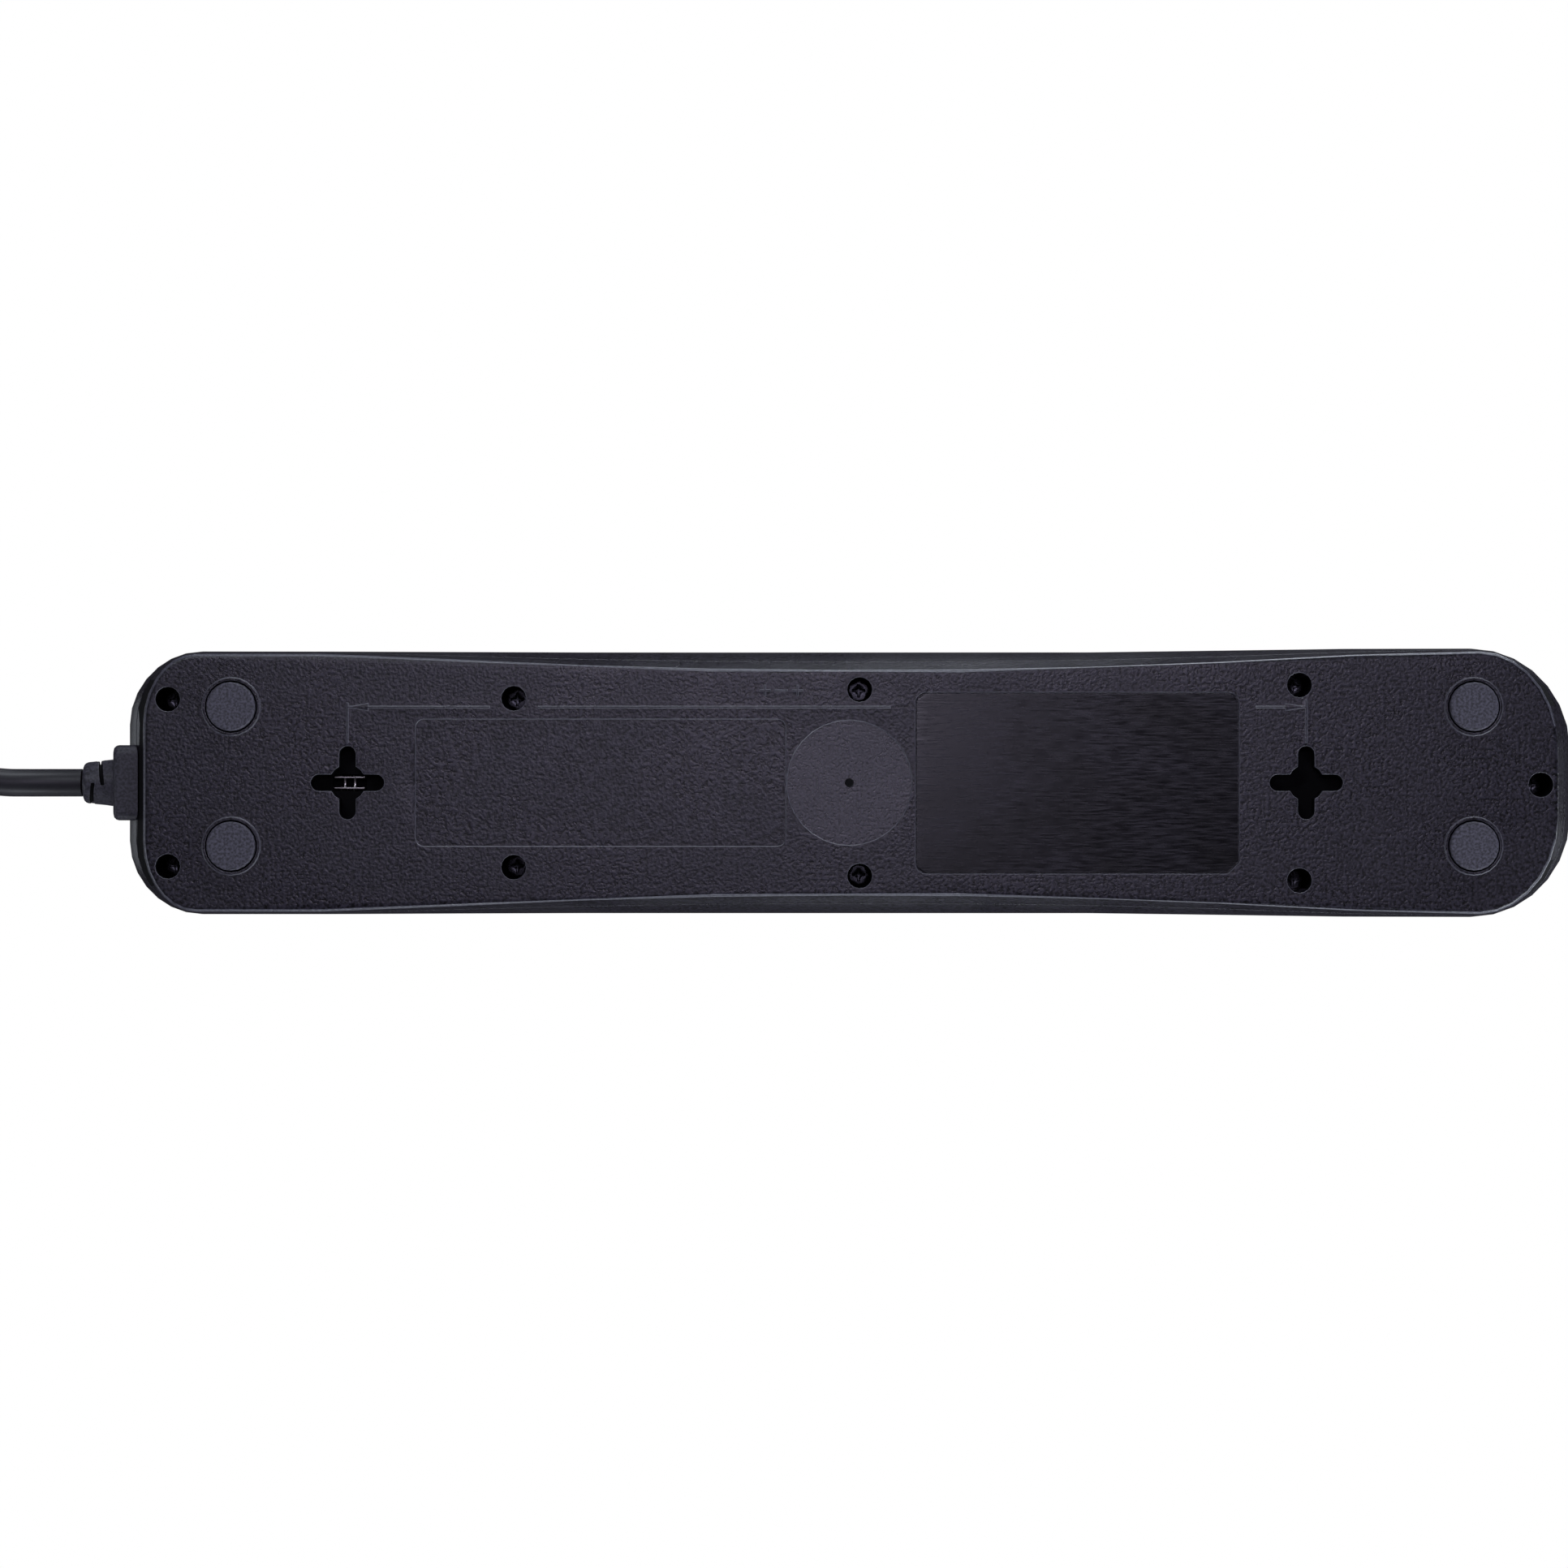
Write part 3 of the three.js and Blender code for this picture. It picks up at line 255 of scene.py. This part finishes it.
def painted_shade_black():
    """Painted shade for hollows that no lamp reaches: nearly black, on unpolished plastic with a
    coarse skin.
    """
    material, nodes, links, principled = shader("painted_shade_black")
    skin = noise(nodes, links, 0.9 * MM, 3)
    tone = spread(nodes, links, skin, 0.3, 0.7, 0, 1)
    links.new(mixed(nodes, links, tone, (0.0012, 0.0011, 0.0016), (0.0024, 0.0022, 0.0032)),
              principled.inputs["Base Color"])
    principled.inputs["Roughness"].default_value = 0.75
    principled.inputs["Specular IOR Level"].default_value = 0.12
    bump(nodes, links, principled, skin, 0.03 * MM)
    return material


def brushed(name, colour, roughness, size=0.15 * MM, stretch=(12, 1, 1), tarnish=0.2):
    """Rolled or plated metal with fine drawn lines and a little tarnish."""
    material, nodes, links, principled = shader(name)
    principled.inputs["Metallic"].default_value = 1.0
    lines = noise(nodes, links, size, 3, stretch)
    cloud = noise(nodes, links, 3 * MM, 4)
    stain = spread(nodes, links, cloud, 0.35, 0.7, 0, 1)
    links.new(mixed(nodes, links, stain, colour, scaled(colour, 1 - tarnish)),
              principled.inputs["Base Color"])
    links.new(spread(nodes, links, lines, 0.3, 0.7, roughness - 0.08, roughness + 0.12),
              principled.inputs["Roughness"])
    bump(nodes, links, principled, lines, 0.006 * MM)
    return material


def satin_film():
    """The label's film: smooth, with fine streaks along the strip and dull clouds."""
    material, nodes, links, principled = shader("satin_film")
    streaks = noise(nodes, links, 0.4 * MM, 3, (12, 1, 1))
    clouds = noise(nodes, links, 14 * MM, 2, (1.6, 1, 1))
    tone = spread(nodes, links, streaks, 0.36, 0.64, 0, 1)
    streaked = mixed(nodes, links, tone, (0.002, 0.0018, 0.0028), (0.0105, 0.0096, 0.0145))
    dull = spread(nodes, links, clouds, 0.35, 0.62, 0.1, 1)
    links.new(mixed(nodes, links, dull, (0.0015, 0.0014, 0.002), streaked),
              principled.inputs["Base Color"])
    links.new(spread(nodes, links, streaks, 0.36, 0.64, 0.15, 0.3), principled.inputs["Roughness"])
    principled.inputs["Specular IOR Level"].default_value = 0.36
    bump(nodes, links, principled, streaks, 0.006 * MM)
    return material


def lit_red():
    """The rocker: clear red polycarbonate, glossy, with faint flow marks."""
    material, nodes, links, principled = shader("lit_red")
    flow = noise(nodes, links, 5 * MM, 3)
    tone = spread(nodes, links, flow, 0.3, 0.7, 0, 1)
    links.new(mixed(nodes, links, tone, (0.42, 0.008, 0.006), (0.52, 0.014, 0.01)),
              principled.inputs["Base Color"])
    links.new(spread(nodes, links, noise(nodes, links, 0.8 * MM), 0.3, 0.7, 0.14, 0.2),
              principled.inputs["Roughness"])
    principled.inputs["Subsurface Weight"].default_value = 0.15
    principled.inputs["Subsurface Radius"].default_value = (0.004, 0.001, 0.001)
    principled.inputs["Subsurface Scale"].default_value = 1.0
    bump(nodes, links, principled, flow, 0.01 * MM)
    return material


def make_materials():
    """Each of the record's slots, and each extra finish, with its material."""
    core = {"grain": 0.6 * MM, "depth": 0.01 * MM, "mottle": 0.1, "wear_and_highlight": 1.2}
    return {
        "black_shell": moulded("spark_black", (0.014, 0.0125, 0.0185), 0.28, grain=0.75 * MM,
                               depth=0.11 * MM, mottle=0.95, wear_and_highlight=3.0, shine=0.4),
        # painted highlight for the underside's rims, raised lines and outline fillet
        "edge_highlight": moulded("painted_rim_highlight", (0.075, 0.074, 0.092), 0.3, grain=0.7 * MM,
                          depth=0.03 * MM, mottle=0.3, wear_and_highlight=1.2),
        # painted shade for holes, slots, the gate mark and the strip behind the earth tab
        "cavity": painted_shade_black(),
        "disc": moulded("polished_disc", (0.021, 0.0195, 0.027), 0.24, grain=0.6 * MM,
                        depth=0.05 * MM, mottle=0.6, wear_and_highlight=3.0),
        "gland_black": moulded("gland_black", (0.034, 0.032, 0.043), 0.46, grain=0.6 * MM,
                               depth=0.05 * MM, mottle=0.5, wear_and_highlight=1.5, shine=0.4),
        "label": satin_film(),
        "foot_rubber": moulded("foot_rubber", (0.05, 0.047, 0.066), 0.6, grain=0.6 * MM,
                               depth=0.14 * MM, mottle=0.6, wear_and_highlight=1.3),
        "screw_steel": brushed("screw_black", (0.03, 0.03, 0.035), 0.2, size=0.2 * MM,
                               stretch=(1, 1, 6), tarnish=0.3),
        "insert_plastic": moulded("insert_grey", (0.02, 0.02, 0.024), 0.4, grain=0.3 * MM,
                                  depth=0.01 * MM, mottle=0.1, wear_and_highlight=2.0),
        "shutter_plastic": moulded("shutter_red", (0.26, 0.02, 0.015), 0.45, grain=0.4 * MM,
                                   depth=0.01 * MM, mottle=0.1, wear_and_highlight=1.3),
        "contact_brass": brushed("contact_brass", (0.6, 0.4, 0.13), 0.3),
        "earth_nickel": brushed("earth_nickel", (0.3, 0.29, 0.28), 0.26),
        "rocker_red": lit_red(),
        "lamp_glass": moulded("lamp_glass", (0.8, 0.35, 0.14), 0.15, grain=1 * MM,
                              depth=0.002 * MM, mottle=0.1, wear_and_highlight=1.1),
        "core_brown": moulded("core_brown", (0.11, 0.035, 0.012), 0.42, **core),
        "core_blue": moulded("core_blue", (0.015, 0.08, 0.32), 0.42, **core),
        "core_earth": moulded("core_earth", (0.12, 0.32, 0.015), 0.42, **core),
        "cord_black": moulded("cord_black", (0.009, 0.0082, 0.012), 0.46, grain=0.5 * MM,
                              depth=0.012 * MM, mottle=0.1, wear_and_highlight=1.2, shine=0.4),
        "tie_black": moulded("tie_black", (0.012, 0.012, 0.014), 0.75, grain=0.35 * MM,
                             depth=0.08 * MM, mottle=0.3, wear_and_highlight=1.6),
        "pin_nickel": brushed("pin_nickel", (0.66, 0.64, 0.6), 0.24, size=0.12 * MM,
                              stretch=(1, 8, 8), tarnish=0.15),
    }


NODES_OF_SLOT = {
    "black_shell": ["base_cover", "top_cover", "clamp_bar", "switch_housing"],
    "gland_black": ["cord_gland"],
    "label": ["rating_label"],
    "foot_rubber": [f"foot_{i + 1}" for i in range(FEET)],
    "screw_steel": [f"cover_screw_{i + 1}" for i in range(SCREWS)]
                   + ["clamp_screw_1", "clamp_screw_2"],
    "insert_plastic": [f"socket_insert_{i + 1}" for i in range(SOCKETS)],
    "shutter_plastic": [f"shutter_{i + 1}" for i in range(SOCKETS)],
    "contact_brass": ["live_bar", "neutral_bar", "terminal_live_in", "terminal_live_out",
                      "terminal_neutral_in", "terminal_neutral_out"],
    "earth_nickel": ["earth_bar"],
    "rocker_red": ["rocker"],
    "lamp_glass": ["switch_lamp"],
    "core_brown": ["wire_live_in", "wire_live_out"],
    "core_blue": ["wire_neutral_in", "wire_neutral_out"],
    "core_earth": ["wire_earth"],
    "cord_black": ["cord_jacket_end", "cord_lead", "cord_coil", "cord_tail", "plug_body"],
    "tie_black": ["coil_tie"],
    "pin_nickel": ["plug_pin_1", "plug_pin_2", "plug_earth_strip_1", "plug_earth_strip_2"],
}


def give(piece, material):
    """Makes material the piece's only one."""
    piece.data.materials.clear()
    piece.data.materials.append(material)


def finish_underside(cover, finishes):
    """The base cover's own surfaces, face by face, over its grained plastic: painted shade in its
    holes and gate mark, painted highlight on its rims, raised lines and outline fillet, and its
    smooth disc.
    """
    half_width, left, right = 25.5 * MM, -172 * MM, 169 * MM  # holes and relief lie within
    hole_z = 2.4 * MM  # above this are the insides of holes and of the housing
    relief_z = 3 * MM  # below this are all raised lines, rims and the outline's fillet
    for slot in ("cavity", "disc", "edge_highlight"):
        cover.data.materials.append(finishes[slot])
    cavity, disc, edge_highlight = 1, 2, 3
    centre = Vector((DISC[0], DISC[1], BASE_Z))
    for face in cover.data.polygons:
        place = face.center
        reach = (place - centre).length
        inside = abs(place.y) < half_width and left < place.x < right
        sloping = -0.94 < face.normal.z < -0.2 and place.z < relief_z
        # painted shade inside the holes, the housing and the gate mark
        if inside and place.z > hole_z or reach < GATE_R:
            face.material_index = cavity
        # painted highlight on the raised lines and rims within, and on the outline's fillet only
        # along the long sides, which the edge lamps light
        elif sloping and (inside or abs(face.normal.y) > 0.3):
            face.material_index = edge_highlight
        elif face.normal.z < -0.9 and reach < DISC[2]:
            face.material_index = disc


def darken_slots(gland, material):
    """Painted shade on the insides of the strain relief's two slots and of its bore."""
    bore_from, slots_from, slots_to = -185.5 * MM, -185 * MM, -179.6 * MM
    inner_r = 4.5 * MM  # the sleeve's outer skin is further from the lead's middle
    gland.data.materials.append(material)
    for face in gland.data.polygons:
        place = face.center
        from_axis = math.hypot(place.y, place.z - CORD_EXIT[2])
        facing_along = abs(face.normal.x) > 0.7 and place.x > slots_from
        if bore_from < place.x < slots_to and (from_axis < inner_r or facing_along):
            face.material_index = 1


def darken_behind_tab(bar, material):
    """The strip between the walls of the keyhole's tab, in the tab's own shadow."""
    half_length, half_width, above = 9 * MM, 3 * MM, 8.2 * MM
    bar.data.materials.append(material)
    for face in bar.data.polygons:
        place = face.center
        beside = abs(place.x - KEYHOLE_X) < half_length and abs(place.y) < half_width
        if beside and place.z > above:
            face.material_index = 1


# ------------------------------------------------------------------ finer pieces
def refined(node, body, edge, segments=2, crease=30):
    """A copy of a CAD node with rounded edges and smooth curves, which stands for it."""
    mesh = bpy.data.meshes.new(node + "_fine")
    work = bmesh.new()
    work.from_mesh(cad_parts[node].data)
    bmesh.ops.remove_doubles(work, verts=work.verts, dist=0.002 * MM)
    bmesh.ops.dissolve_limit(work, angle_limit=math.radians(0.6), verts=work.verts,
                             edges=work.edges)
    bmesh.ops.triangulate(work, faces=work.faces, quad_method="BEAUTY", ngon_method="BEAUTY")
    sharp = [e for e in work.edges if e.is_manifold and e.calc_face_angle() > math.radians(crease)]
    bmesh.ops.bevel(work, geom=sharp, offset=edge, segments=segments, affect="EDGES",
                    profile=0.5, clamp_overlap=False, harden_normals=False)
    bmesh.ops.triangulate(work, faces=[f for f in work.faces if len(f.verts) > 4])
    for face in work.faces:
        face.smooth = True
    work.to_mesh(mesh)
    work.free()
    piece = bpy.data.objects.new(node + "_fine", mesh)
    bpy.context.scene.collection.objects.link(piece)
    mesh.set_sharp_from_angle(angle=math.radians(crease + 10))
    weighted = piece.modifiers.new("weighted", "WEIGHTED_NORMAL")
    weighted.keep_sharp = True
    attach(piece, body)
    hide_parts(node)
    return piece


# ------------------------------------------------------------------ stage
def softbox(name, place, target, width, height, power, colour):
    """A rectangular lamp of width by height metres and power watts that faces target."""
    data = bpy.data.lights.new(name, "AREA")
    data.shape = "RECTANGLE"
    data.size = width
    data.size_y = height
    data.energy = power
    data.color = colour
    lamp = bpy.data.objects.new(name, data)
    lamp.location = place
    lamp.rotation_euler = (Vector(target) - Vector(place)).to_track_quat("-Z", "Y").to_euler()
    bpy.context.scene.collection.objects.link(lamp)


def make_floor():
    """A pale floor under the feet that can be looked through from below."""
    half = 3.0
    level = -0.4 * MM
    mesh = bpy.data.meshes.new("floor")
    corners = [(x, y, level) for x, y in
               ((-half, -half), (half, -half), (half, half), (-half, half))]
    mesh.from_pydata(corners, [], [(0, 1, 2, 3)])
    floor = bpy.data.objects.new("floor", mesh)
    bpy.context.scene.collection.objects.link(floor)
    material, nodes, links, principled = shader("pale_floor")
    tone = spread(nodes, links, noise(nodes, links, 0.15, 3), 0.3, 0.7, 0, 1)
    links.new(mixed(nodes, links, tone, (0.78, 0.78, 0.77), (0.8, 0.8, 0.79)),
              principled.inputs["Base Color"])
    principled.inputs["Roughness"].default_value = 0.8
    clear = nodes.new("ShaderNodeBsdfTransparent")
    side = nodes.new("ShaderNodeNewGeometry")
    choose = nodes.new("ShaderNodeMixShader")
    links.new(side.outputs["Backfacing"], choose.inputs["Fac"])
    links.new(principled.outputs["BSDF"], choose.inputs[1])
    links.new(clear.outputs["BSDF"], choose.inputs[2])
    links.new(choose.outputs["Shader"], nodes["Material Output"].inputs["Surface"])
    give(floor, material)
    floor.visible_diffuse = False
    floor.visible_glossy = False
    floor.visible_transmission = False
    floor.visible_shadow = False


def make_world():
    """White behind the object, and a dimmer even light on it."""
    world = bpy.data.worlds.new("studio")
    world.use_nodes = True
    bpy.context.scene.world = world
    nodes = world.node_tree.nodes
    links = world.node_tree.links
    seen = nodes["Background"]
    seen.inputs["Color"].default_value = (1, 1, 1, 1)
    light = nodes.new("ShaderNodeBackground")
    direction = nodes.new("ShaderNodeTexCoord")
    parts = nodes.new("ShaderNodeSeparateXYZ")
    links.new(direction.outputs["Generated"], parts.inputs["Vector"])
    light.inputs["Color"].default_value = (0.86, 0.82, 1, 1)
    links.new(spread(nodes, links, parts.outputs["Z"], 0.3, 0.65, 0.08, 0.03),
              light.inputs["Strength"])
    path = nodes.new("ShaderNodeLightPath")
    choose = nodes.new("ShaderNodeMixShader")
    links.new(path.outputs["Is Camera Ray"], choose.inputs["Fac"])
    links.new(light.outputs["Background"], choose.inputs[1])
    links.new(seen.outputs["Background"], choose.inputs[2])
    links.new(choose.outputs["Shader"], nodes["World Output"].inputs["Surface"])
    bpy.context.scene.view_settings.view_transform = "Standard"


def make_lights():
    """Violet and pale lamps below for the underside, pale ones above for the rest."""
    middle = (0, 0, 0.02)
    violet = (0.84, 0.77, 1.0)
    pale = (0.86, 0.92, 1.0)
    softbox("strip_below", (0.0, -0.3, -1.5), middle, 0.6, 0.12, 2.4, violet)
    softbox("spot_below", (0.0, -0.06, -1.5), middle, 0.12, 0.12, 0.33, violet)
    softbox("lead_below", (-0.5, -0.8, -1.25), (-0.2, 0, 0), 0.5, 0.2, 3.6, pale)
    softbox("side_below", (0.62, 0.5, -0.36), (0.15, 0.02, 0), 0.4, 0.4, 3.0, pale)
    softbox("end_below", (-1.5, 0.45, -0.4), (-0.15, 0, 0), 1.0, 0.16, 4, pale)
    softbox("near_edge", (0.35, -1.3, -0.3), middle, 1.4, 0.1, 13, pale)
    softbox("far_edge", (0.35, 1.3, -0.3), middle, 1.4, 0.1, 10, pale)
    softbox("key_above", (0.5, -1.35, 0.85), middle, 1.2, 0.5, 10, pale)
    softbox("fill_above", (1.5, 0.5, 0.75), middle, 0.9, 0.5, 7, pale)
    softbox("back_above", (0.15, 1.4, 0.8), middle, 0.9, 0.5, 2.5, pale)
    softbox("end_above", (-1.15, 0.0, 1.1), middle, 0.6, 0.5, 0.6, pale)


# ------------------------------------------------------------------ the scene
make_camera()
lead, lead_path = make_cord()
finishes = make_materials()
for slot, names in NODES_OF_SLOT.items():
    for name in names:
        give(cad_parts[name], finishes[slot])
give(lead, finishes["cord_black"])

fine = {}
for name, slot, edge in [
    ("base_cover", "black_shell", 0.12 * MM),
    ("top_cover", "black_shell", 0.12 * MM),
    ("rating_label", "label", 0.05 * MM),
    ("switch_housing", "black_shell", 0.15 * MM),
    ("plug_body", "cord_black", 0.3 * MM),
    ("coil_tie", "tie_black", 0.25 * MM),
]:
    fine[name] = refined(name, "housing", edge)
    give(fine[name], finishes[slot])

finish_underside(fine["base_cover"], finishes)
fine["cord_gland"] = refined("cord_gland", "housing", 0.2 * MM)
give(fine["cord_gland"], finishes["gland_black"])
darken_slots(fine["cord_gland"], finishes["cavity"])
bar = refined("earth_bar", "housing", 0.06 * MM)
give(bar, finishes["earth_nickel"])
darken_behind_tab(bar, finishes["cavity"])

for i in range(FEET):
    piece = refined(f"foot_{i + 1}", "housing", 0.15 * MM)
    give(piece, finishes["foot_rubber"])
for i in range(SCREWS):
    piece = refined(f"cover_screw_{i + 1}", "housing", 0.08 * MM)
    give(piece, finishes["screw_steel"])
for i in range(SOCKETS):
    piece = refined(f"socket_insert_{i + 1}", "housing", 0.15 * MM)
    give(piece, finishes["insert_plastic"])
    piece = refined(f"shutter_{i + 1}", f"shutter_{i + 1}", 0.1 * MM)
    give(piece, finishes["shutter_plastic"])
for i in range(2):
    piece = refined(f"plug_pin_{i + 1}", "housing", 0.1 * MM)
    give(piece, finishes["pin_nickel"])
piece = refined("rocker", "rocker", 0.3 * MM, 3)
give(piece, finishes["rocker_red"])

make_floor()
make_world()
make_lights()
